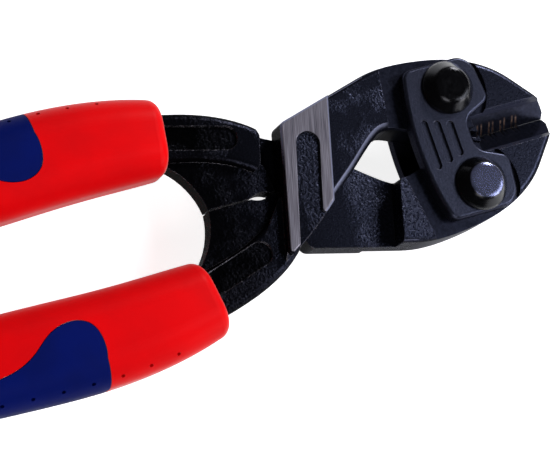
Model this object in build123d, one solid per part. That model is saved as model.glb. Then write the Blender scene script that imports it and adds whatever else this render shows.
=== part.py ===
from build123d import *
import math
import os

# Compact bolt cutter, closed, lying on its side. All lengths in mm, +Z up.
# Outlines are drawn in a pivot frame: its origin lies half way between the
# two rivets at mid thickness, +X runs to the jaw tips, +Y to the upper handle.
# The finished pieces are then moved so that the origin is under the middle.
OVERALL_LENGTH = 200.0
TIP_REACH = 23.7            # rivet line to jaw tip
PIVOT_Y = 11.15             # each rivet's distance from the tool axis
SHANK_R = 3.5               # rivet shank
BORE_R = 3.54               # lever bore, 0.04 running clearance
HEAD_BASE_R, HEAD_TOP_R, HEAD_RISE = 6.0, 3.9, 3.2
JAW_HALF = 5.4              # forged half thickness of jaws and arms
SEAT_HALF = 4.4             # half thickness on the ground plate seat
SEAT_R = 10.3               # round seat about the rivet
SEAT_FRONT = 2.8            # front edge of the plate seat at the butts
SEAT_LINE = ((-16.7, -2.0), (-11.6, 30.0))     # rear edge of the plate seat
PLATE_GAP = 0.05            # running gap between lever and plate
PLATE_T = 3.0
BLOCK_HALF = 6.5            # raised block on the crossing
BLOCK_EDGE = ((-27.0, 16.75), (-34.6, -9.4))   # its edge towards the jaw
POCKET_D = 0.6              # bare pocket on the block
CORNER_R = 1.8              # rounded corner at the top of the lap
LAP_OFF = 0.05              # each lever's half of the lap stands off mid plane
BAR_HALF = 4.0              # handle bar half thickness
BAR_ROUND = 1.4
SLIT, SLIT_RISE = (-50.2, -45.2), 0.8          # lens shaped gap between the lugs
LUG_HALF = 2.2
LUG_OFF = 0.15              # half the gap between the stop lugs
EDGE_OFF = 0.05             # half the gap between the cutting edges
EDGE_LAND = 0.35            # half width of the ground cutting edge
BEVEL_Y = 4.7               # where the blade bevel leaves the jaw face
BEVEL_STEP = (3.8, 3.6)     # y, z of the line between the two bevels
BUTT_R = 11.0               # rolling butts about each rivet
TOOTH = (1.7, 0.9, 1.3)     # half width at root, at tip, height past the axis
TOOTH_PLAY = 0.4
NOTCH_X = (7.2, 10.2, 13.2, 16.2)
# Corners shared by several outlines of the lower lever.
CROWN_START = (-18.0, 19.1)
LEFT_TOP = (-39.8, 13.4)
HEEL = (-47.7, -15.2)
PAD_TOP = (-20.9, 18.35)
THROAT_RUN = (-1, -0.55)
BAR_START = (-46.3, -15.8)
# Curves of each jaw: throat back to its end, and slope of the lap. The crown is
# common to both, and the throat of the lower jaw is a little tighter.
CROWN = [(-6.0, 19.7), (9.6, 15.9), (15.4, 12.0), (19.6, 7.4), (TIP_REACH, 1.3)]
UPPER_JAW = {
    "throat": [(-12.0, 5.1), (-15.2, 6.2), (-18.0, 5.9)],
    "slope": [(-25.8, 0.1), (-31.6, -4.2), (-40.3, -10.7)],
}
LOWER_JAW = {
    "throat": [(-12.0, 4.1), (-14.8, 4.8), (-17.0, 4.6)],
    "slope": [(-23.0, 0.3), (-31.6, -6.0), (-40.3, -11.4)],
}

PLATE_TOP = SEAT_HALF + PLATE_GAP + PLATE_T
REST_Z = PLATE_TOP + HEAD_RISE
PIVOT_X = OVERALL_LENGTH / 2 - TIP_REACH

# Grip stations: distance along X, centre y, width, thickness.
GRIP = [
    (-64.6, 17.6, 16.2, 14.6),
    (-70.0, 18.4, 17.8, 15.8),
    (-78.0, 19.2, 19.2, 16.6),
    (-90.0, 19.6, 20.2, 17.2),
    (-104.0, 19.1, 20.3, 17.4),
    (-120.0, 18.2, 19.6, 17.0),
    (-138.0, 16.6, 18.4, 16.4),
    (-156.0, 14.6, 17.0, 15.8),
    (-170.0, 13.2, 16.4, 15.2),
    (-175.84, 12.7, 15.6, 14.6),
]
GRIP_CORNER = 0.40          # corner radius as a share of the thickness
SHELL = 2.2                 # cover thickness over the core
SEAM = 0.15                 # open joint line round the window in the cover
# Edge of the window in the cover, from its front end to its rear end.
INLAY = [
    (-92.2, 24.0), (-92.0, 19.4), (-93.2, 16.7), (-95.8, 15.2), (-99.2, 15.2), (-102.2, 16.4),
    (-105.8, 19.2), (-110.0, 21.3), (-116.0, 22.2), (-126.0, 21.4), (-136.0, 18.9),
    (-146.0, 15.2), (-154.0, 12.4), (-162.0, 11.6), (-168.0, 13.2), (-170.2, 17.0), (-170.4, 24.0),
]
VENTS, VENT_START, VENT_PITCH = 13, -77.0, 6.3      # pin holes in each row
VENT_R, VENT_TILT = 0.45, 38.0
GROOVES = [(-8.3, 11.3), (-5.3, 9.7), (-2.3, 8.1)]   # x and length on each plate
GROOVE_W, GROOVE_D = 1.7, 0.5


def slab(face, low, high):
    """A flat outline raised from one height to another."""
    return Pos(0, 0, low) * extrude(face, high - low)


def mirror_y(points):
    return [(x, -y) for x, y in points]


def corners_at(face, point):
    """The corners of an outline that lie on a point."""
    return [v for v in face.vertices() if math.dist((v.X, v.Y), point) < 0.01]


def jaw_edges(jaw):
    """Crown, nose, butt and throat of the lower lever's jaw, in order."""
    root_y = PIVOT_Y - math.sqrt(BUTT_R ** 2 - 3.6 ** 2)
    tail_y = PIVOT_Y - math.sqrt(BUTT_R ** 2 - 6.5 ** 2)
    crown = Spline(CROWN_START, *CROWN, tangents=[(1, 0.26), (0.4, -1)])
    nose = Polyline(CROWN[-1], (TIP_REACH - 0.2, EDGE_OFF), (5.4, EDGE_OFF), (3.6, root_y))
    butt = ThreePointArc((3.6, root_y), (0, PIVOT_Y - BUTT_R), (-6.5, tail_y))
    run_in = (tail_y - PIVOT_Y, 6.5)
    throat = Spline((-6.5, tail_y), *jaw["throat"], tangents=[run_in, THROAT_RUN])
    return [crown, nose, butt, throat]


def rear_outline(jaw):
    """Jaw and rear pad; the step wall at its back clears the other lever."""
    face = make_face(jaw_edges(jaw) + [Polyline(jaw["throat"][-1], PAD_TOP, CROWN_START)])
    return fillet(corners_at(face, jaw["throat"][-1]), 1.3)


def front_outline(jaw):
    """Jaw, arm and front half of the lap in one run."""
    slope = Spline(jaw["throat"][-1], *jaw["slope"], HEEL, tangents=[THROAT_RUN, (-1, -0.6)])
    left = Polyline(HEEL, LEFT_TOP, CROWN_START)
    return make_face(jaw_edges(jaw) + [slope, left])


def round_top(face):
    """The same outline with the top corner of the lap rounded."""
    return fillet(corners_at(face, LEFT_TOP), CORNER_R)


def block_outline(jaw):
    """Raised block on the crossing: the lap left of a line, with round lower corners."""
    top, low = BLOCK_EDGE
    line = [(top[0], 30), top, low, (-60, -30), (-60, 30), (top[0], 30)]
    face = round_top(front_outline(jaw) & make_face(Polyline(*line)))
    return fillet([v for v in face.vertices() if v.Y < -4], 0.9)


def pocket_outline(jaw):
    """Bare pocket on the block, open at the slope, between two round ended legs."""
    block = block_outline(jaw)
    legs = block - Pos(-39.2, -5.2) * Rot(0, 0, 72.9) * SlotCenterToCenter(26.8, 5.4)
    inside = [v for v in legs.vertices() if v.Y < -4 and not corners_at(block, (v.X, v.Y))]
    return block - fillet(inside, 0.7)


def bar_outline(start, end):
    """Handle bar and tang, closed towards the head through the given points."""
    outer = Spline(
        *start, (-52.0, -18.9), (-62.0, -22.0), (-78.0, -24.1),
        (-104.0, -24.2), (-138.0, -20.4), (-168.0, -16.4),
    )
    inner = Spline(
        (-168.0, -10.2), (-138.0, -12.8), (-104.0, -14.2), (-78.0, -14.0),
        (-65.0, -12.0), (-54.0, -9.0), (-47.6, -5.3),
    )
    cap = Line((-168.0, -16.4), (-168.0, -10.2))
    return make_face([outer, cap, inner, Polyline((-47.6, -5.3), *end, start[0])])


def lug_outline(end):
    """Stop lug with a nipping face on the tool axis."""
    face = Line((end, -LUG_OFF), (-60.0, -LUG_OFF))
    curve = Spline((-60.0, -LUG_OFF), (-60.7, -3.6), (-62.6, -7.6), (-67.0, -12.2))
    rest = Polyline((-67.0, -12.2), (-60.0, -15.0), (-48.0, -9.0), (end - 0.6, -6.2), (end, -LUG_OFF))
    return make_face([face, curve, rest])


def rim(body, z, keep):
    """Edges of a slab at one height whose middle passes the given test."""
    return [e for e in body.edges() if abs(e.center().Z - z) < 0.001 and keep(e @ 0.5)]


def long_sides(p):
    return -167 < p.X < -47 and p.Y < -5


def lever(jaw):
    """Lower handle and upper jaw, one forging."""
    front = slab(front_outline(jaw), LAP_OFF, JAW_HALF)
    front = chamfer(rim(front, JAW_HALF, lambda p: -42 < p.X < -20 and p.Y < 5), 1.4)
    front = fillet(rim(front, JAW_HALF, lambda p: p.Y > 9 and p.X > -38), 1.3)
    front -= slab(front_outline(jaw) - round_top(front_outline(jaw)), LAP_OFF, JAW_HALF)
    rear = slab(rear_outline(jaw), -JAW_HALF, LAP_OFF)
    rear = fillet(rim(rear, -JAW_HALF, lambda p: p.Y > 6 and p.X > -16), 1.3)
    block = slab(block_outline(jaw), LAP_OFF, BLOCK_HALF)
    block = chamfer(rim(block, BLOCK_HALF, lambda p: True), 0.5)
    bar_rear = bar_outline([BAR_START], [(-46.1, -6.3), (-44.2, -12.4), (-44.4, -14.0)])
    bar_rear = slab(bar_rear, -BAR_HALF, LAP_OFF)
    bar_rear = fillet(rim(bar_rear, -BAR_HALF, long_sides), BAR_ROUND)
    bar_front = bar_outline([(-41.5, -11.3), BAR_START], [(-44.6, -1.7), (-41.5, -1.7)])
    bar_front = slab(bar_front, LAP_OFF, BAR_HALF)
    bar_front = fillet(rim(bar_front, BAR_HALF, long_sides), BAR_ROUND)
    lug = slab(lug_outline(-44.3), -LUG_HALF, LAP_OFF) + slab(lug_outline(-41.6), LAP_OFF, LUG_HALF)
    return front + rear + block + bar_rear + bar_front + lug


def pill(x, y, turn):
    return Pos(x, y) * Rot(0, 0, turn) * SlotCenterToCenter(16.6, 5.2)


def pockets(jaw):
    """Bare pocket on the block and a shallow pill on each face of the bar."""
    cut = slab(pocket_outline(jaw), BLOCK_HALF - POCKET_D, BLOCK_HALF + 1)
    cut += slab(pill(-60.5, -14.3, 16.0), BAR_HALF - 0.5, BAR_HALF + 1)
    return cut + slab(pill(-59.7, -15.8, 14.3), -BAR_HALF - 1, -BAR_HALF + 0.5)


def notches():
    """Fine grooves across the cutting edge and a lens between the stop lugs."""
    tick = make_face(Polyline((-0.22, -0.5), (0.22, -0.5), (0.0, 1.9), (-0.22, -0.5)))
    cuts = [Pos(x + dx, 0) * slab(tick, -8, 8) for x in NOTCH_X for dx in (-0.5, 0.5)]
    (x0, x1), rise = SLIT, SLIT_RISE
    over = ThreePointArc((x0, 0), ((x0 + x1) / 2, rise), (x1, 0))
    under = ThreePointArc((x1, 0), ((x0 + x1) / 2, -rise), (x0, 0))
    return Part() + cuts + slab(make_face([over, under]), -4, 4)


def seats():
    """Ground seats for the two plates, on both faces."""
    low, high = SEAT_LINE
    zone = make_face(Polyline(low, (SEAT_FRONT, low[1]), (SEAT_FRONT, high[1]), high, low))
    zone += Pos(0, PIVOT_Y) * Circle(SEAT_R)
    cut = slab(zone, SEAT_HALF, BLOCK_HALF + 2)
    return cut + mirror(cut, Plane.XY)


def bevel():
    """Two step grinding along the cutting edge, on both faces."""
    y1, z1 = BEVEL_STEP
    prof = Polyline(
        (EDGE_OFF - 1, EDGE_LAND), (EDGE_OFF, EDGE_LAND), (y1, z1), (BEVEL_Y, JAW_HALF),
        (BEVEL_Y, JAW_HALF + 2), (EDGE_OFF - 1, JAW_HALF + 2), (EDGE_OFF - 1, EDGE_LAND),
    )
    face = Plane.YZ * make_face(prof)
    cut = Pos(4.6, 0, 0) * extrude(face, 30)
    return cut + mirror(cut, Plane.XY)


def lever_blank(jaw):
    body = lever(jaw) - seats() - bevel() - pockets(jaw) - notches()
    return body - Pos(0, PIVOT_Y) * Cylinder(BORE_R, 40)


def step_tooth(play):
    """Trapezium on the butt that keeps the two levers in step."""
    root, tip, depth = TOOTH
    pts = [(-root - play, 0.9 - play), (root + play, 0.9 - play)]
    pts += [(tip + play, -depth - play), (-tip - play, -depth - play)]
    half = SEAT_HALF if play == 0 else 20
    return slab(make_face(Polyline(*pts, pts[0])), -half, half)


def plate_outline():
    """Side plate: a lobe round each rivet, a bowed rear edge, a notch in front."""
    corners = [(-8.9, 17.3), (7.8, 17.5), (9.0, 6.6), (1.9, 3.5)]
    chain = corners + mirror_y(corners)[::-1]
    rear = ThreePointArc(chain[-1], (-11.4, 0), chain[0])
    face = make_face([Polyline(*chain), rear])
    for (x, _), radius in zip(corners, (2.4, 4.4, 2.3, 3.3)):
        face = fillet([v for v in face.vertices() if abs(v.X - x) < 0.01], radius)
    return face


def side_plate():
    """Front plate, drilled for both rivets, with three closed grooves."""
    low = SEAT_HALF + PLATE_GAP
    body = slab(plate_outline(), low, PLATE_TOP)
    body = fillet(body.edges().group_by(Axis.Z)[-1], 0.7)
    for x, length in GROOVES:
        body -= Pos(x, 0, PLATE_TOP) * extrude(SlotOverall(length, GROOVE_W, rotation=90), -GROOVE_D)
    for y in (PIVOT_Y, -PIVOT_Y):
        body -= Pos(0, y) * Cylinder(SHANK_R, 40)
    return body


def rivet(y):
    """Shank through both plates with a cone head at each end."""
    half = [(0, 0), (SHANK_R, 0), (SHANK_R, PLATE_TOP), (HEAD_BASE_R, PLATE_TOP)]
    half += [(HEAD_BASE_R, PLATE_TOP + 0.5), (HEAD_TOP_R, REST_Z), (0, REST_Z), (0, 0)]
    body = revolve(Plane.XZ * make_face(Polyline(*half)), Axis.Z)
    body = fillet(body.edges().group_by(Axis.Z)[-1], 0.5)
    body += mirror(body, Plane.XY)
    return Pos(0, y) * body


def grip_loft(inset, skip):
    """Oval handle sleeve of the lower lever through the grip stations."""
    rows = GRIP[skip:len(GRIP) - skip]
    faces = []
    for i, (x, y, width, thick) in enumerate(rows):
        ax, ay = rows[max(i - 1, 0)][:2]
        bx, by = rows[min(i + 1, len(rows) - 1)][:2]
        run = Vector(bx - ax, ay - by, 0).normalized()
        plane = Plane(origin=(x, -y, 0), x_dir=(-run.Y, run.X, 0), z_dir=run)
        w, t = width - 2 * inset, thick - 2 * inset
        faces.append(plane * RectangleRounded(w, t, t * GRIP_CORNER))
    return loft(faces)


def inlay_zone(margin=0.0):
    """Region on the outer side of the lower grip where the core shows, with a margin."""
    points = mirror_y(INLAY)
    wave = Spline(*points)
    runs = [wave % wave.param_at_point(p) for p in points]
    points = [(x + margin * run.Y, y - margin * run.X) for (x, y), run in zip(points, runs)]
    (x0, _), (x1, _) = points[0], points[-1]
    rest = Polyline(points[-1], (x1, -45), (x0, -45), points[0])
    return slab(make_face([Spline(*points), rest]), -20, 20)


def vents():
    """Two rows of pin holes along the back of the lower grip."""
    holes = []
    for i in range(VENTS):
        x = VENT_START - VENT_PITCH * i
        k = next(j for j in range(1, len(GRIP)) if GRIP[j][0] <= x)
        (xa, *a), (xb, *b) = GRIP[k - 1], GRIP[k]
        y, width, thick = [p + (q - p) * (x - xa) / (xb - xa) for p, q in zip(a, b)]
        r = thick * GRIP_CORNER
        flat = thick / 2 - r
        turn = math.radians(VENT_TILT)
        out = -(y + width / 2 - r + r * math.cos(turn))
        for side in (1, -1):
            spot = Pos(x, out, side * (flat + r * math.sin(turn)))
            holes.append(spot * Rot(90 - side * VENT_TILT, 0, 0) * Cylinder(VENT_R, 2.4))
    return Part() + holes


def grip_pieces(forging):
    """Hard core round the tang, and the cover moulded over it."""
    outer = grip_loft(0, 0)
    ends = outer.faces().sort_by(Axis.X)
    outer = fillet(ends[-1].edges() + ends[0].edges(), 2.8) - vents()
    core = grip_loft(SHELL, 1) + (outer & inlay_zone())
    cover = outer - inlay_zone(SEAM) - grip_loft(SHELL, 1) - forging
    return core - forging, cover


forging = lever_blank(UPPER_JAW)
twin = lever_blank(LOWER_JAW)
core, cover = grip_pieces(forging)
plate = side_plate()
flip = Rot(180, 0, 0)
PIECES = {
    "lower_handle_lever": forging + step_tooth(0),
    "upper_handle_lever": flip * twin - step_tooth(TOOTH_PLAY),
    "front_side_plate": plate,
    "rear_side_plate": flip * plate,
    "upper_jaw_rivet": rivet(PIVOT_Y),
    "lower_jaw_rivet": rivet(-PIVOT_Y),
    "lower_grip_core": core,
    "lower_grip_cover": cover,
    "upper_grip_core": flip * core,
    "upper_grip_cover": flip * cover,
}

os.makedirs("parts", exist_ok=True)
for name, solid in PIECES.items():
    export_step(Pos(PIVOT_X, 0, REST_Z) * solid, f"parts/{name}.step")
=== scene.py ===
# %% [markdown]
# # Dressing a compact bolt cutter
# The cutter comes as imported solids: two crossing forgings, two side plates, two
# rivets and two grips, each grip a blue core with a red cover. This lesson sets
# the camera and the light, gives every solid its finish, and adds the hard cores
# of the cutting edges, which show in the notches.

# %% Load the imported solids
import math

import bpy
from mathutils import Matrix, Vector


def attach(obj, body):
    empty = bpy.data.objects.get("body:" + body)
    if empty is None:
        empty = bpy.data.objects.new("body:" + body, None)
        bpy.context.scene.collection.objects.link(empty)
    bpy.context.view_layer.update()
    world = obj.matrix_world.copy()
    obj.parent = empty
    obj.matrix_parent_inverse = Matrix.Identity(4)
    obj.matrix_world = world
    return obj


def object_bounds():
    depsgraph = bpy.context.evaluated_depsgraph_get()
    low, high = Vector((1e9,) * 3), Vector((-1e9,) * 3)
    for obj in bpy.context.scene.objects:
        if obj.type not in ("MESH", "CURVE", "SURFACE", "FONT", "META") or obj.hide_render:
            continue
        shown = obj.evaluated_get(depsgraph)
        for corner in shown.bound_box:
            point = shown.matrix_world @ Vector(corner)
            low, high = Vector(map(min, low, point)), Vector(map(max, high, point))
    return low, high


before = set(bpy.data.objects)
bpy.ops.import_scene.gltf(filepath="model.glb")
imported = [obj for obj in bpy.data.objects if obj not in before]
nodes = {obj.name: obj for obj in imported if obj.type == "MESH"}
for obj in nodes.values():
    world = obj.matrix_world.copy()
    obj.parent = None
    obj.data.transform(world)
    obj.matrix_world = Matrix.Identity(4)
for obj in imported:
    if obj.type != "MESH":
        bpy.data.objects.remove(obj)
cad_low, cad_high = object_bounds()
bpy.ops.object.select_all(action="DESELECT")
print("solids:", ", ".join(sorted(nodes)))

# %% [markdown]
# ## Landmarks
# Everything is in metres in the frame of the solids, so the heights and places
# that several finishes need are written once here. The tool lies on its rivet
# heads, and its mid plane is half way up. Heights are counted from that plane, so
# one value serves the front and the rear face.

# %% Heights and places on the tool
MID_Z = (cad_low.z + cad_high.z) / 2
BLOCK_HALF = 0.0065          # mid plane to the ground face of the crossing block
SEAT_HALF = 0.0044           # mid plane to the ground seat of the side plates
SEAT_X = 0.0590              # rear edge of that seat
CROSSING = (0.036, 0.060)    # where the levers lie on each other, along the tool
RIVET_X = 0.0763
RIVET_Y = 0.01115            # the rivets stand this far to either side
print(f"mid plane at {MID_Z * 1000:.2f} mm")

# %% [markdown]
# ## Camera
# The photograph looks down on the tool from its handle side, a little over
# 20 degrees off the vertical. A long lens keeps the jaws and the grips in
# proportion. Place and turn were worked out from the rivets and the outline.

# %% Camera
CAMERA_PLACE = (-0.11444, -0.05751, 0.38181)
CAMERA_TURN = (13.930, -17.819, -19.614)     # degrees
LENS = 123.33
SENSOR = 36.0

bpy.ops.object.camera_add(
    location=CAMERA_PLACE, rotation=[math.radians(a) for a in CAMERA_TURN])
camera = bpy.context.object
camera.data.sensor_width = SENSOR
camera.data.sensor_fit = "HORIZONTAL"
camera.data.lens = LENS
bpy.context.scene.camera = camera
bpy.context.scene.view_settings.view_transform = "Standard"
print("camera stands", round(camera.location.length * 1000), "mm from the origin")

# %% [markdown]
# ## Helpers for numbers
# A material is a tree of nodes, and most of what follows is masks: numbers from 0
# to 1 that say where on the surface something happens. These helpers add a node
# and join it in one line, so that a finish reads from top to bottom. A value is
# either a socket of another node or a plain number.

# %% Helpers for numbers
def feed(tree, node, settings):
    """Fills a node's inputs by name: joins a socket, or writes a plain value."""
    for name, value in settings.items():
        if isinstance(value, bpy.types.NodeSocket):
            tree.links.new(value, node.inputs[name])
        else:
            node.inputs[name].default_value = value


def sums(tree, operation, *values):
    """One math node, for numbers that change over the surface."""
    node = tree.nodes.new("ShaderNodeMath")
    node.operation = operation
    feed(tree, node, dict(enumerate(values)))
    return node.outputs[0]


def product(tree, first, *others):
    """Masks multiplied, so that all of them must hold."""
    for other in others:
        first = sums(tree, "MULTIPLY", first, other)
    return first


def remap(tree, value, low, high, to_low=0.0, to_high=1.0):
    """Stretches a range of values to another one and clamps the rest."""
    node = tree.nodes.new("ShaderNodeMapRange")
    feed(tree, node, {"Value": value, "From Min": low, "From Max": high,
                      "To Min": to_low, "To Max": to_high})
    return node.outputs["Result"]


def graded(tree, mask, at_none, at_full):
    """A plain number that passes from one value to another as a mask fills."""
    return remap(tree, mask, 0.0, 1.0, at_none, at_full)


def band(tree, value, low, high, soft):
    """One between two values, falling to zero over a soft margin outside them."""
    rise = remap(tree, value, low - soft, low)
    fall = remap(tree, value, high + soft, high)
    return sums(tree, "MINIMUM", rise, fall)


print("number helpers: sums, product, remap, graded, band")

# %% [markdown]
# ## Helpers for patterns and faces
# A pattern needs a place on the surface, a colour needs a share of two others, and
# a bump turns a height into a bent normal. The tilt of a face tells level faces,
# chamfers and walls apart, which saves marking each of them by hand.

# %% Helpers for patterns and faces
def noise(tree, where, scale, detail=3.0, roughness=0.5):
    """Cloudy noise, with more cells to the metre at a larger scale."""
    node = tree.nodes.new("ShaderNodeTexNoise")
    feed(tree, node, {"Vector": where, "Scale": scale, "Detail": detail, "Roughness": roughness})
    return node.outputs[0]


def stretched(tree, where, turn, size):
    """Turns a pattern about Z and sizes it along each axis, as for grain that runs one way."""
    node = tree.nodes.new("ShaderNodeMapping")
    node.vector_type = "TEXTURE"
    feed(tree, node, {"Vector": where, "Rotation": (0.0, 0.0, math.radians(turn)), "Scale": size})
    return node.outputs["Vector"]


def blend(tree, share, first, second):
    """Mixes two colours by a share from 0 to 1."""
    node = tree.nodes.new("ShaderNodeMix")
    node.data_type = "RGBA"
    feed(tree, node, {0: share, 6: first, 7: second})
    return node.outputs[2]


def bump(tree, height, strength, distance, normal=None):
    """Bends the normal by a height. It can start from a normal that is bent already."""
    node = tree.nodes.new("ShaderNodeBump")
    feed(tree, node, {"Height": height, "Strength": strength, "Distance": distance})
    if normal is not None:
        feed(tree, node, {"Normal": normal})
    return node.outputs["Normal"]


def axes(tree, vector):
    """The X, Y and Z of a vector."""
    node = tree.nodes.new("ShaderNodeSeparateXYZ")
    feed(tree, node, {0: vector})
    return list(node.outputs)


def face_tilt(tree):
    """How far a face looks up or down: 1 when level, 0 when upright."""
    face = tree.nodes.new("ShaderNodeNewGeometry")
    return sums(tree, "ABSOLUTE", axes(tree, face.outputs["True Normal"])[2])


print("pattern helpers: noise, stretched, blend, bump, axes, face_tilt")

# %% [markdown]
# ## Materials and groups
# Every finish starts as a new material with one Principled shader, and ends on the
# solids it belongs to. An effect that several finishes share is a node group with
# named sockets. It is built once and placed in each material with its own values.

# %% Materials and groups
def finish_named(name):
    """A new material with its shader and the surface's own coordinates."""
    material = bpy.data.materials.new(name)
    material.use_nodes = True
    tree = material.node_tree
    shader = tree.nodes["Principled BSDF"]
    where = tree.nodes.new("ShaderNodeTexCoord").outputs["Object"]
    return material, tree, shader, where


def paint(material, *names):
    """Puts a finish on solids of the frame."""
    for name in names:
        nodes[name].data.materials.clear()
        nodes[name].data.materials.append(material)
    print(material.name, "on", ", ".join(names))


def group_with(name, inputs, outputs):
    """An empty shader group with its sockets."""
    group = bpy.data.node_groups.new(name, "ShaderNodeTree")
    for label, kind in inputs:
        group.interface.new_socket(label, in_out="INPUT", socket_type=kind)
    for label, kind in outputs:
        group.interface.new_socket(label, in_out="OUTPUT", socket_type=kind)
    start = group.nodes.new("NodeGroupInput")
    end = group.nodes.new("NodeGroupOutput")
    return group, start.outputs, end


def use_group(tree, group, **values):
    """Places a group in a material, with its own values."""
    node = tree.nodes.new("ShaderNodeGroup")
    node.node_tree = group
    feed(tree, node, values)
    return node.outputs


print("material helpers: finish_named, paint, group_with, use_group")

# %% [markdown]
# ## Forged skin
# Forged steel keeps a pebbled skin from the die and the furnace. The same skin,
# finer or coarser, is on the arms, in the bare pocket and faintly on the plates,
# so it is one node group with a grain size. Pebbles rise where the pitting is
# strong, over a fine grain that is everywhere. The group gives a height for the
# bump and a tone for colour and gloss.

# %% Forged skin
FINE_STEP = 2.0              # the fine grain has twice as many cells as the pebbles
FINE_HEIGHT = 0.22
PEBBLE_RANGE = (0.25, 0.75)
TONE_RANGE = (0.3, 0.7)

forged_skin, given, wanted = group_with(
    "forged_skin",
    [("Where", "NodeSocketVector"), ("Grain", "NodeSocketFloat"), ("Pitting", "NodeSocketFloat")],
    [("Height", "NodeSocketFloat"), ("Tone", "NodeSocketFloat")],
)
finer = product(forged_skin, given["Grain"], FINE_STEP)
fine = noise(forged_skin, given["Where"], finer, detail=2.0)
pebbles = noise(forged_skin, given["Where"], given["Grain"], detail=2.0, roughness=0.6)
lumps = product(forged_skin, remap(forged_skin, pebbles, *PEBBLE_RANGE), given["Pitting"])
feed(forged_skin, wanted, {
    "Height": sums(forged_skin, "ADD", product(forged_skin, fine, FINE_HEIGHT), lumps),
    "Tone": remap(forged_skin, pebbles, *TONE_RANGE),
})
print("group", forged_skin.name)

# %% [markdown]
# ## Edge highlight
# Sharp edges get a painted highlight, a pale colour laid along them. The Bevel node
# gives the normal of a slightly rounded edge, and where that differs from the flat
# normal the surface is close to an edge. The group gives this as a mask for the
# painted highlight, broken up by noise, and passes the rounded normal on so that edges catch the
# light.

# %% Edge highlight
EDGE_TURN = (0.995, 0.90)    # how alike the two normals are, away from an edge and on it
EDGE_SPECKLE = 900.0
SPECKLE_RANGE = (0.35, 0.65)

edge_rub, given, wanted = group_with(
    "edge_rub",
    [("Where", "NodeSocketVector"), ("Radius", "NodeSocketFloat")],
    [("Mask", "NodeSocketFloat"), ("Normal", "NodeSocketVector")],
)
rounded = edge_rub.nodes.new("ShaderNodeBevel")
rounded.samples = 6
feed(edge_rub, rounded, {"Radius": given["Radius"]})
flat = edge_rub.nodes.new("ShaderNodeNewGeometry")
alike = edge_rub.nodes.new("ShaderNodeVectorMath")
alike.operation = "DOT_PRODUCT"
feed(edge_rub, alike, {0: rounded.outputs["Normal"], 1: flat.outputs["Normal"]})
near_edge = remap(edge_rub, alike.outputs["Value"], *EDGE_TURN)
speckle = noise(edge_rub, given["Where"], EDGE_SPECKLE, detail=4.0)
feed(edge_rub, wanted, {
    "Mask": product(edge_rub, near_edge, remap(edge_rub, speckle, *SPECKLE_RANGE)),
    "Normal": rounded.outputs["Normal"],
})
print("group", edge_rub.name)

# %% [markdown]
# ## Blackened steel
# Blackened steel is a dark mirror with a blue cast. It is modelled as a metal with
# a very dark blue colour, and the little that is not metal gets a dark tint too, so
# that the lamps leave no grey haze on it. Forgings and plates share these values.

# %% Blackened steel
STEEL_METAL = 0.8
STEEL_SPECULAR = 0.30
STEEL_TINT = (0.18, 0.18, 0.22, 1.0)
PAINTED_EDGE_HIGHLIGHT = (0.16, 0.15, 0.17, 1.0)             # painted highlight along the edges
print("blackened steel is", f"{STEEL_METAL:.0%} metal")

# %% [markdown]
# ## Pits in the forging
# The skin of the levers isn't even. It is pitted in patches behind the plates, all
# over the lower half there, and on the floor of the block's pocket. The arms are
# pitted in patches as well, and the jaws are clean.

# %% Pits in the forging
PATCH_SCALE = 160.0
PATCH_RANGE = (0.42, 0.58)
PITTED_HEAD = (0.050, 0.066)                 # along the tool, behind the plates
PITTED_ARMS = (0.002, 0.032)
PITTED_SOFT = 0.004
LOWER_HALF = (0.004, -0.006)                 # across the tool
LOWER_PITTING = 0.8
POCKET_FLOOR = (0.00580, 0.00595)            # height of the floor of the block's pocket
POCKET_SOFT = 0.00002
CROSSING_SOFT = 0.002


def at_crossing(tree, x):
    return band(tree, x, *CROSSING, CROSSING_SOFT)


def pitting(tree, where, x, y, height):
    """How strongly the forging is pitted."""
    patches = remap(tree, noise(tree, where, PATCH_SCALE), *PATCH_RANGE)
    lower_half = remap(tree, y, *LOWER_HALF, 0.0, LOWER_PITTING)
    behind_plates = product(
        tree, band(tree, x, *PITTED_HEAD, PITTED_SOFT), sums(tree, "ADD", patches, lower_half))
    arms = product(tree, band(tree, x, *PITTED_ARMS, PITTED_SOFT), patches)
    pocket = product(tree, band(tree, height, *POCKET_FLOOR, POCKET_SOFT), at_crossing(tree, x))
    return sums(tree, "MAXIMUM", sums(tree, "MAXIMUM", behind_plates, arms), pocket)


print(f"pits behind the plates from {PITTED_HEAD[0] * 1000:.0f} to {PITTED_HEAD[1] * 1000:.0f} mm")

# %% [markdown]
# ## Painted highlights, light and shade
# Where the levers cross, the chamfers get a painted highlight, bright along their
# top. The steep step between a jaw and its long bevel gets painted light, a pale
# colour with less metal. The shallow pockets of the arms and the stop lugs between
# them get painted shade, the blackest colour. The tilt and the height of a face find all
# of these.

# %% Painted highlights, light and shade
CHAMFER_TILT = (0.66, 0.76)                  # of a 45 degree face
STEEP_TILT = (0.30, 0.50)
TILT_SOFT = 0.02
HIGHLIGHT_HEIGHT = (0.0044, 0.0051)               # painted highlight, from the dark foot of a chamfer to its bright top
JAWS_START = RIVET_X + 0.003
ARM_FLOOR = (0.00345, 0.00355)               # height of the floor of the arms' pockets
ARM_FLOOR_SOFT = 0.00003
LUG_TOP = (0.0027, 0.0023)
LUG_SHADE = 0.6


def chamfer_highlights(tree, x, height):
    """The chamfers at the crossing, with a painted highlight at the top."""
    chamfers = band(tree, face_tilt(tree), *CHAMFER_TILT, TILT_SOFT)
    return product(tree, chamfers, at_crossing(tree, x), remap(tree, height, *HIGHLIGHT_HEIGHT))


def steep_bevels(tree, x):
    """The steep steps of the jaws, which get painted light."""
    steep = band(tree, face_tilt(tree), *STEEP_TILT, TILT_SOFT)
    return product(tree, steep, sums(tree, "GREATER_THAN", x, JAWS_START))


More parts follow.
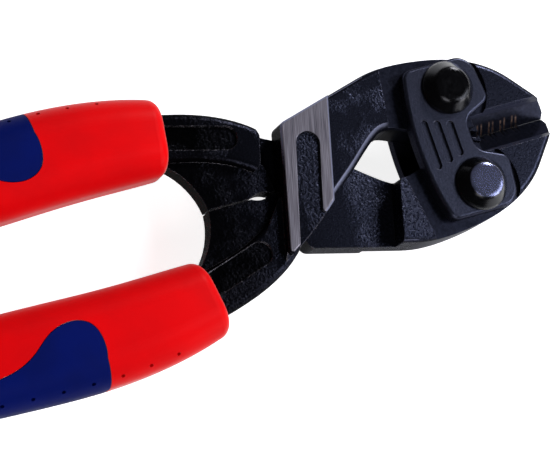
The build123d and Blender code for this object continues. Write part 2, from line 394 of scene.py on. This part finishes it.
def shaded_recesses(tree, height, head):
    """Painted shade on the floors of the arms' pockets, and less on the stop lugs."""
    floors = product(tree, band(tree, height, *ARM_FLOOR, ARM_FLOOR_SOFT), face_tilt(tree))
    lugs = remap(tree, height, *LUG_TOP, 0.0, LUG_SHADE)
    return sums(tree, "SUBTRACT", sums(tree, "MAXIMUM", floors, lugs), head)


print(f"chamfers are bright above {HIGHLIGHT_HEIGHT[1] * 1000:.1f} mm from the mid plane")

# %% [markdown]
# ## Copper ticks
# Cut cable leaves a pair of copper-brown ticks on the upper bevel at each notch of
# the edge. A ping-pong of the distance along the edge comes back to the same value
# on both sides of every notch, so one thin band on it draws all of the pairs.

# %% Copper ticks
FIRST_NOTCH = RIVET_X + 0.0072
NOTCH_PITCH = 0.0030
NOTCH_HALF = 0.0005
TICK_HALF = 0.00013
TICK_SOFT = 0.00012
TICK_ROW = (-NOTCH_PITCH / 3, 3.3 * NOTCH_PITCH)
TICK_ROW_SOFT = 0.0001
TICK_REACH = (0.0001, 0.0018)                # from the edge up the bevel
TICK_REACH_SOFT = 0.0006
TICK_SPECKLE = 1100.0
TICK_RANGE = (0.36, 0.56)


def notch_marks(tree, where, x, y):
    along = sums(tree, "SUBTRACT", x, FIRST_NOTCH)
    from_notch = sums(tree, "PINGPONG", along, NOTCH_PITCH / 2)
    ticks = band(tree, from_notch, NOTCH_HALF - TICK_HALF, NOTCH_HALF + TICK_HALF, TICK_SOFT)
    broken = remap(tree, noise(tree, where, TICK_SPECKLE), *TICK_RANGE)
    row = band(tree, along, *TICK_ROW, TICK_ROW_SOFT)
    on_bevel = band(tree, y, *TICK_REACH, TICK_REACH_SOFT)
    return product(tree, ticks, broken, row, on_bevel)


print(f"a pair of ticks every {NOTCH_PITCH * 1000:.1f} mm")

# %% [markdown]
# ## The levers' finish
# The levers are blackened all over, paler at the head than on the arms. The top
# of the crossing block is ground bright after blackening, with grinding lines along
# its length, and the seats under the plates are ground smooth before it. Height
# tells both from the rough skin. The colour is then laid on in layers, from the
# black up to the copper, and the bright block comes last.

# %% Colour of the levers
BLACKENED = (0.009, 0.010, 0.017, 1.0)
BLACKENED_PALE = (0.023, 0.025, 0.041, 1.0)
ARM_BLACK = (0.004, 0.004, 0.006, 1.0)
# painted shade for the pockets and stop lugs of the arms
RECESS_SHADE = (0.0012, 0.0012, 0.0016, 1.0)
# painted highlight for the chamfers at the crossing
CHAMFER_HIGHLIGHT = (0.20, 0.21, 0.31, 1.0)
# painted light for the steep steps of the jaws
STEP_PAINTED_LIGHT = (0.026, 0.028, 0.048, 1.0)
COPPER = (0.46, 0.30, 0.24, 1.0)
COPPER_SHARE = 0.9
GROUND = (0.30, 0.28, 0.33, 1.0)
GROUND_DARK = (0.06, 0.055, 0.070, 1.0)
LINE_RANGE = (0.3, 0.7)
ARM_EDGE_HIGHLIGHT = 1.0                # how strong the painted edge highlight is on the arms and on the head
HEAD_EDGE_HIGHLIGHT = 0.35


def forging_colour(tree, skin, rub, zones):
    """Layers of colour, from the black coat to the ground face of the block."""
    black = blend(tree, skin["Tone"], BLACKENED, BLACKENED_PALE)
    black = blend(tree, zones["head"], ARM_BLACK, black)
    # painted shade on the pockets and stop lugs of the arms
    black = blend(tree, zones["recess_shade"], black, RECESS_SHADE)
    # painted highlight along the edges, stronger on the arms
    edge_lit = product(tree, rub["Mask"], graded(tree, zones["head"], ARM_EDGE_HIGHLIGHT, HEAD_EDGE_HIGHLIGHT))
    black = blend(tree, edge_lit, black, PAINTED_EDGE_HIGHLIGHT)
    # painted highlight on the chamfers at the crossing
    black = blend(tree, zones["chamfer_highlight"], black, CHAMFER_HIGHLIGHT)
    # painted light on the steep steps of the jaws
    black = blend(tree, zones["steep"], black, STEP_PAINTED_LIGHT)
    black = blend(tree, product(tree, zones["ticks"], COPPER_SHARE), black, COPPER)
    bright = blend(tree, remap(tree, zones["lines"], *LINE_RANGE), GROUND_DARK, GROUND)
    return blend(tree, zones["ground"], black, bright)


print("nine layers of colour on the levers")

# %% [markdown]
# The rest of the finish follows from the same zones. The painted chamfer highlight
# and the painted light on the steep steps lose some of the metal, so that their colour
# shows. Ground faces and the chamfer highlight also lose the
# relief of the skin, and the ground face gets shallow scratches instead.

# %% The levers' finish
HEAD_FADE = (0.020, 0.050)   # along the tool, from the darker arms to the paler head
GROUND_MARGIN = 0.00012      # the ground face and the top of its chamfer
SEAT_MARGIN = 0.0001
GRIND_TURN = 73.8            # degrees, along the block
GRIND_SIZE = (0.0090, 0.00016, 0.0090)
SCRATCH_HEIGHT = 0.15
GROUND_METAL = 0.5
HIGHLIGHT_METAL_CUT = 0.5
FORGED_GLOSS = (0.30, 0.22)


def forging_zones(tree, where):
    """Masks for all that differs over a lever."""
    x, y, z = axes(tree, where)
    height = sums(tree, "ABSOLUTE", sums(tree, "SUBTRACT", z, MID_Z))
    head = remap(tree, x, *HEAD_FADE)
    ground = sums(tree, "GREATER_THAN", height, BLOCK_HALF - GROUND_MARGIN)
    low = sums(tree, "LESS_THAN", height, SEAT_HALF + SEAT_MARGIN)
    seat = product(tree, low, sums(tree, "GREATER_THAN", x, SEAT_X))
    chamfer_highlight = chamfer_highlights(tree, x, height)
    rough = sums(tree, "SUBTRACT", 1.0, sums(tree, "MAXIMUM", ground, seat))
    return {
        "head": head,
        "ground": ground,
        "chamfer_highlight": chamfer_highlight,
        "rough": sums(tree, "SUBTRACT", rough, chamfer_highlight),
        "steep": steep_bevels(tree, x),
        "recess_shade": shaded_recesses(tree, height, head),
        "ticks": notch_marks(tree, where, x, y),
        "pitted": pitting(tree, where, x, y, height),
        "lines": noise(tree, stretched(tree, where, GRIND_TURN, GRIND_SIZE), 1.0, detail=4.0),
    }


def forging_finish():
    material, tree, shader, where = finish_named("blackened_forging")
    zones = forging_zones(tree, where)
    skin = use_group(tree, forged_skin, Where=where, Grain=1500.0, Pitting=zones["pitted"])
    rub = use_group(tree, edge_rub, Where=where, Radius=0.00025)
    metal = graded(tree, zones["ground"], STEEL_METAL, GROUND_METAL)
    # the painted steps and chamfers lose metal, so that their painted colour shows
    painted_metal_cut = sums(tree, "ADD", product(tree, zones["steep"], STEEL_METAL),
                  product(tree, zones["chamfer_highlight"], HIGHLIGHT_METAL_CUT))
    relief = product(tree, skin["Height"], zones["rough"])
    scratches = product(tree, zones["lines"], zones["ground"], SCRATCH_HEIGHT)
    surface = sums(tree, "ADD", relief, scratches)
    feed(tree, shader, {
        "Base Color": forging_colour(tree, skin, rub, zones),
        "Metallic": sums(tree, "SUBTRACT", metal, painted_metal_cut),
        "Roughness": graded(tree, product(tree, skin["Tone"], zones["rough"]), *FORGED_GLOSS),
        "Specular IOR Level": STEEL_SPECULAR,
        "Specular Tint": STEEL_TINT,
        "Normal": bump(tree, surface, strength=0.6, distance=0.00018, normal=rub["Normal"]),
    })
    return material


paint(forging_finish(), "lower_handle_lever", "upper_handle_lever")

# %% [markdown]
# ## Side plates
# The plates are pressed smooth and blackened. They look cleaner than the
# forgings, with only a faint skin and a satin gloss.

# %% Side plates
PLATE_BLACK = (0.024, 0.026, 0.041, 1.0)
PLATE_PALE = (0.038, 0.041, 0.064, 1.0)
PLATE_EDGE_HIGHLIGHT = 0.4
PLATE_GLOSS = (0.34, 0.28)


def plate_finish():
    material, tree, shader, where = finish_named("blackened_plate")
    skin = use_group(tree, forged_skin, Where=where, Grain=2000.0, Pitting=0.35)
    rub = use_group(tree, edge_rub, Where=where, Radius=0.0002)
    black = blend(tree, skin["Tone"], PLATE_BLACK, PLATE_PALE)
    feed(tree, shader, {
        # painted highlight along the edges
        "Base Color": blend(tree, product(tree, rub["Mask"], PLATE_EDGE_HIGHLIGHT), black, PAINTED_EDGE_HIGHLIGHT),
        "Metallic": STEEL_METAL,
        "Roughness": graded(tree, skin["Tone"], *PLATE_GLOSS),
        "Specular IOR Level": STEEL_SPECULAR,
        "Specular Tint": STEEL_TINT,
        "Normal": bump(tree, skin["Height"], strength=0.4, distance=0.00010, normal=rub["Normal"]),
    })
    return material


paint(plate_finish(), "front_side_plate", "rear_side_plate")

# %% [markdown]
# ## Rivets
# The rivet heads are turned cones, polished and blackened, so they are the
# glossiest steel on the tool. Fine rings from the lathe run round each axis: a
# wave of rings, moved to the axis of the rivet, gives them. The flat top of the
# lower rivet gets a painted sheen, paler than the upper one's. A wide rounded edge
# normal softens the shoulder between cone and top, and a painted highlight lies along it.

# %% Rivets
RIVET_BLACK = (0.010, 0.010, 0.013, 1.0)
UPPER_TOP = (0.004, 0.004, 0.005, 1.0)
# painted sheen on the lower rivet's flat top
LOWER_TOP_SHEEN = (0.240, 0.260, 0.460, 1.0)
TOP_TILT = (0.80, 0.95)
TOP_SHARE = (0.35, 0.75)     # of the top's colour, in the dark and the pale grains
RIVET_EDGE_HIGHLIGHT = 0.2
RIVET_GLOSS = (0.18, 0.12)
RING_HEIGHT = 0.06
GRAIN_HEIGHT = 0.5


def lathe_rings(tree, where, y):
    """Fine rings round the axis of one rivet."""
    centred = tree.nodes.new("ShaderNodeMapping")
    feed(tree, centred, {"Vector": where, "Location": (-RIVET_X, -y, 0.0)})
    rings = tree.nodes.new("ShaderNodeTexWave")
    rings.wave_type = "RINGS"
    rings.rings_direction = "Z"
    feed(tree, rings, {"Vector": centred.outputs["Vector"], "Scale": 900.0, "Distortion": 0.6})
    return rings.outputs["Fac"]


def rivet_finish(name, y, top):
    material, tree, shader, where = finish_named(name)
    skin = use_group(tree, forged_skin, Where=where, Grain=1300.0, Pitting=0.2)
    rub = use_group(tree, edge_rub, Where=where, Radius=0.0012)
    on_top = remap(tree, face_tilt(tree), *TOP_TILT)
    # the top's colour: a painted sheen on the lower rivet, darker on the upper one
    top_paint = product(tree, graded(tree, skin["Tone"], *TOP_SHARE), on_top)
    black = blend(tree, top_paint, RIVET_BLACK, top)
    rings = product(tree, lathe_rings(tree, where, y), RING_HEIGHT)
    surface = sums(tree, "ADD", rings, product(tree, skin["Height"], GRAIN_HEIGHT))
    feed(tree, shader, {
        # painted highlight along the edges and the shoulder
        "Base Color": blend(tree, product(tree, rub["Mask"], RIVET_EDGE_HIGHLIGHT), black, PAINTED_EDGE_HIGHLIGHT),
        "Metallic": STEEL_METAL,
        "Roughness": graded(tree, skin["Tone"], *RIVET_GLOSS),
        "Specular IOR Level": 1.0,
        "Normal": bump(tree, surface, strength=0.25, distance=0.00006, normal=rub["Normal"]),
    })
    return material


paint(rivet_finish("turned_rivet_upper", RIVET_Y, UPPER_TOP), "upper_jaw_rivet")
paint(rivet_finish("turned_rivet_lower", -RIVET_Y, LOWER_TOP_SHEEN), "lower_jaw_rivet")

# %% [markdown]
# ## Grips
# The cover is a soft red moulding with a pale sheen where it turns away from the
# eye, and the core a harder navy one with a satin face. Both have the faint orange
# peel of moulded plastic, which breaks up the gloss, and both are a little deeper in
# blotches. Peel and blotches are shared, so they are a group.

# %% Moulded plastic
PEEL_SCALE = 1400.0
CLOUD_SCALE = 90.0
CLOUD_RANGE = (0.35, 0.65)

moulded, given, wanted = group_with(
    "moulded_face",
    [("Where", "NodeSocketVector")],
    [("Height", "NodeSocketFloat"), ("Cloud", "NodeSocketFloat")],
)
cloud = noise(moulded, given["Where"], CLOUD_SCALE)
feed(moulded, wanted, {
    "Height": noise(moulded, given["Where"], PEEL_SCALE, detail=1.0),
    "Cloud": remap(moulded, cloud, *CLOUD_RANGE),
})
print("group", moulded.name)

# %% Grips
RED = (0.80, 0.001, 0.003, 1.0)
RED_DEEP = (0.70, 0.001, 0.003, 1.0)
RED_GLOSS = (0.46, 0.40)
RED_SHEEN = 0.6
NAVY = (0.001, 0.006, 0.108, 1.0)
NAVY_DEEP = (0.001, 0.005, 0.086, 1.0)
NAVY_GLOSS = (0.52, 0.46)
NAVY_SHEEN = 0.0
SHEEN_COLOUR = (1.0, 0.80, 0.74, 1.0)


def grip_finish(name, colour, deep, gloss, sheen):
    material, tree, shader, where = finish_named(name)
    face = use_group(tree, moulded, Where=where)
    feed(tree, shader, {
        "Base Color": blend(tree, face["Cloud"], deep, colour),
        "Roughness": graded(tree, face["Cloud"], *gloss),
        "Specular IOR Level": 0.04,
        "Sheen Weight": sheen,
        "Sheen Roughness": 0.30,
        "Sheen Tint": SHEEN_COLOUR,
        "Normal": bump(tree, face["Height"], strength=0.12, distance=0.00005),
    })
    return material


red_cover = grip_finish("red_cover", RED, RED_DEEP, RED_GLOSS, RED_SHEEN)
navy_core = grip_finish("navy_core", NAVY, NAVY_DEEP, NAVY_GLOSS, NAVY_SHEEN)
paint(red_cover, "lower_grip_cover", "upper_grip_cover")
paint(navy_core, "lower_grip_core", "upper_grip_core")

# %% [markdown]
# ## Edge cores
# The notches in the cutting edges stop at a hard core, and copper from cut cable
# stays on it. The solids are notched right through, so each jaw gets a thin core
# half way up: a cube at its size and place, with its cutting side rounded by a
# bevel. It shows only in the notches and rides on the lever whose jaw it is in.

# %% Finish of the edge cores
CORE_BROWN = (0.060, 0.035, 0.026, 1.0)
SMEAR_SCALE = 2500.0
SMEAR_RANGE = (0.35, 0.65)


def copper_finish():
    material, tree, shader, where = finish_named("copper_smear")
    smear = remap(tree, noise(tree, where, SMEAR_SCALE), *SMEAR_RANGE)
    feed(tree, shader, {
        "Base Color": blend(tree, smear, ARM_BLACK, CORE_BROWN),
        "Roughness": 0.6,
        "Specular IOR Level": 0.2,
    })
    return material


copper = copper_finish()
print("finish", copper.name)

# %% Edge cores
CORE_HALF = 0.00025                                   # half of its thickness
CORE_DEPTH = (0.00003, 0.0021)                        # from the cut into the jaw
CORE_RUN = (RIVET_X + 0.0058, RIVET_X + 0.0174)       # along the edge
CORE_ROUND = CORE_HALF / 5


def round_near_side(core, side):
    """Bevels the two long edges of a core that lie next to the cut."""
    near, far = CORE_DEPTH
    bpy.ops.object.mode_set(mode="EDIT")
    bpy.ops.mesh.select_mode(type="EDGE")
    bpy.ops.mesh.select_all(action="DESELECT")
    bpy.ops.object.mode_set(mode="OBJECT")
    points = core.data.vertices
    for edge in core.data.edges:
        first, second = (points[index].co for index in edge.vertices)
        lengthwise = abs(first.x - second.x) > far
        edge.select = lengthwise and side * first.y < (near + far) / 2
    bpy.ops.object.mode_set(mode="EDIT")
    bpy.ops.mesh.bevel(offset=CORE_ROUND, segments=2)
    bpy.ops.object.mode_set(mode="OBJECT")


def edge_core(name, side, body):
    """A thin bar inside one jaw, on the side of the cut given by the sign of Y."""
    near, far = CORE_DEPTH
    centre = (sum(CORE_RUN) / 2, side * (near + far) / 2, MID_Z)
    bpy.ops.mesh.primitive_cube_add(size=1.0, location=centre)
    core = bpy.context.object
    core.name = name
    core.scale = (CORE_RUN[1] - CORE_RUN[0], far - near, 2 * CORE_HALF)
    bpy.ops.object.transform_apply(location=True, rotation=True, scale=True)
    round_near_side(core, side)
    core.data.materials.append(copper)
    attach(core, body)
    print(f"{name}: {len(core.data.polygons)} faces, rides on {body}")


bpy.ops.object.select_all(action="DESELECT")
edge_core("upper_edge_core", 1, "lower_lever")
edge_core("lower_edge_core", -1, "upper_lever")

# %% [markdown]
# ## Floor
# The tool was shot on white. The floor is a plain white sheet just under the tool.
# A little glow for what the camera and the gloss see keeps it white round a soft
# shadow, and lights nothing. In the gloss it fades towards the handles, so that the
# walls there stay black.

# %% Floor
FLOOR_SIZE = 6.0
FLOOR_DROP = 0.0002
SHEET_WHITE = (0.80, 0.80, 0.80, 1.0)
GLOW_WHITE = (1.0, 1.0, 1.0, 1.0)
FLOOR_GLOW = 0.85
GLOSS_FADE = (-0.05, 0.20)   # along the tool
GLOSS_GLOW = (0.1, 1.0)


def floor_finish():
    material, tree, shader, where = finish_named("white_sheet")
    rays = tree.nodes.new("ShaderNodeLightPath").outputs
    fade = remap(tree, axes(tree, where)[0], *GLOSS_FADE, *GLOSS_GLOW)
    mirrored = product(tree, rays["Is Glossy Ray"], fade)
    seen = sums(tree, "MAXIMUM", rays["Is Camera Ray"], mirrored)
    seen = sums(tree, "MAXIMUM", seen, rays["Is Transmission Ray"])
    feed(tree, shader, {
        "Base Color": SHEET_WHITE,
        "Roughness": 0.9,
        "Specular IOR Level": 0.0,
        "Emission Color": GLOW_WHITE,
        "Emission Strength": product(tree, seen, FLOOR_GLOW),
    })
    return material


bpy.ops.mesh.primitive_plane_add(size=FLOOR_SIZE, location=(0.0, 0.0, -FLOOR_DROP))
floor = bpy.context.object
floor.name = "white_floor"
floor.data.materials.append(floor_finish())
print(f"{floor.name}: {FLOOR_SIZE} m square")

# %% [markdown]
# ## Light
# The key comes from the upper right of the picture. A soft box at the front lights
# the near sides of the grips, a weak one low on the right reaches the bevels and
# walls, and a dim sheet above puts a sheen on the level faces, which mirror it
# towards the camera. The world adds next to nothing, so the black stays black.

# %% Lamps
AIM = Vector((0.030, 0.0, 0.010))
WHITE = (1.0, 1.0, 1.0)
COOL_WHITE = (0.97, 0.98, 1.0)
BLUE_WHITE = (0.88, 0.92, 1.0)


def soft_box(name, place, size, power, colour):
    """A square area lamp that looks at the tool."""
    bpy.ops.object.light_add(type="AREA", location=place)
    lamp = bpy.context.object
    lamp.name = name
    lamp.rotation_euler = (AIM - lamp.location).to_track_quat("-Z", "Y").to_euler()
    lamp.data.size = size
    lamp.data.energy = power
    lamp.data.color = colour
    print(f"{name}: {power} W, {size} m square")


soft_box("key_upper_right", (0.70, 0.52, 0.54), 0.19, 7.0, COOL_WHITE)
soft_box("low_fill", (0.62, -0.56, 0.18), 0.30, 2.0, WHITE)
soft_box("front_fill", (-0.30, -0.70, 0.70), 0.50, 4.0, WHITE)
soft_box("overhead_sheen", (0.64, -0.18, 0.68), 0.40, 4.4, BLUE_WHITE)

# %% World
WORLD_WHITE = (1.0, 1.0, 1.0, 1.0)
WORLD_LIGHT = 0.02

world = bpy.data.worlds.new("studio")
world.use_nodes = True
background = world.node_tree.nodes["Background"]
feed(world.node_tree, background, {"Color": WORLD_WHITE, "Strength": WORLD_LIGHT})
bpy.context.scene.world = world
print(f"world at {WORLD_LIGHT}")
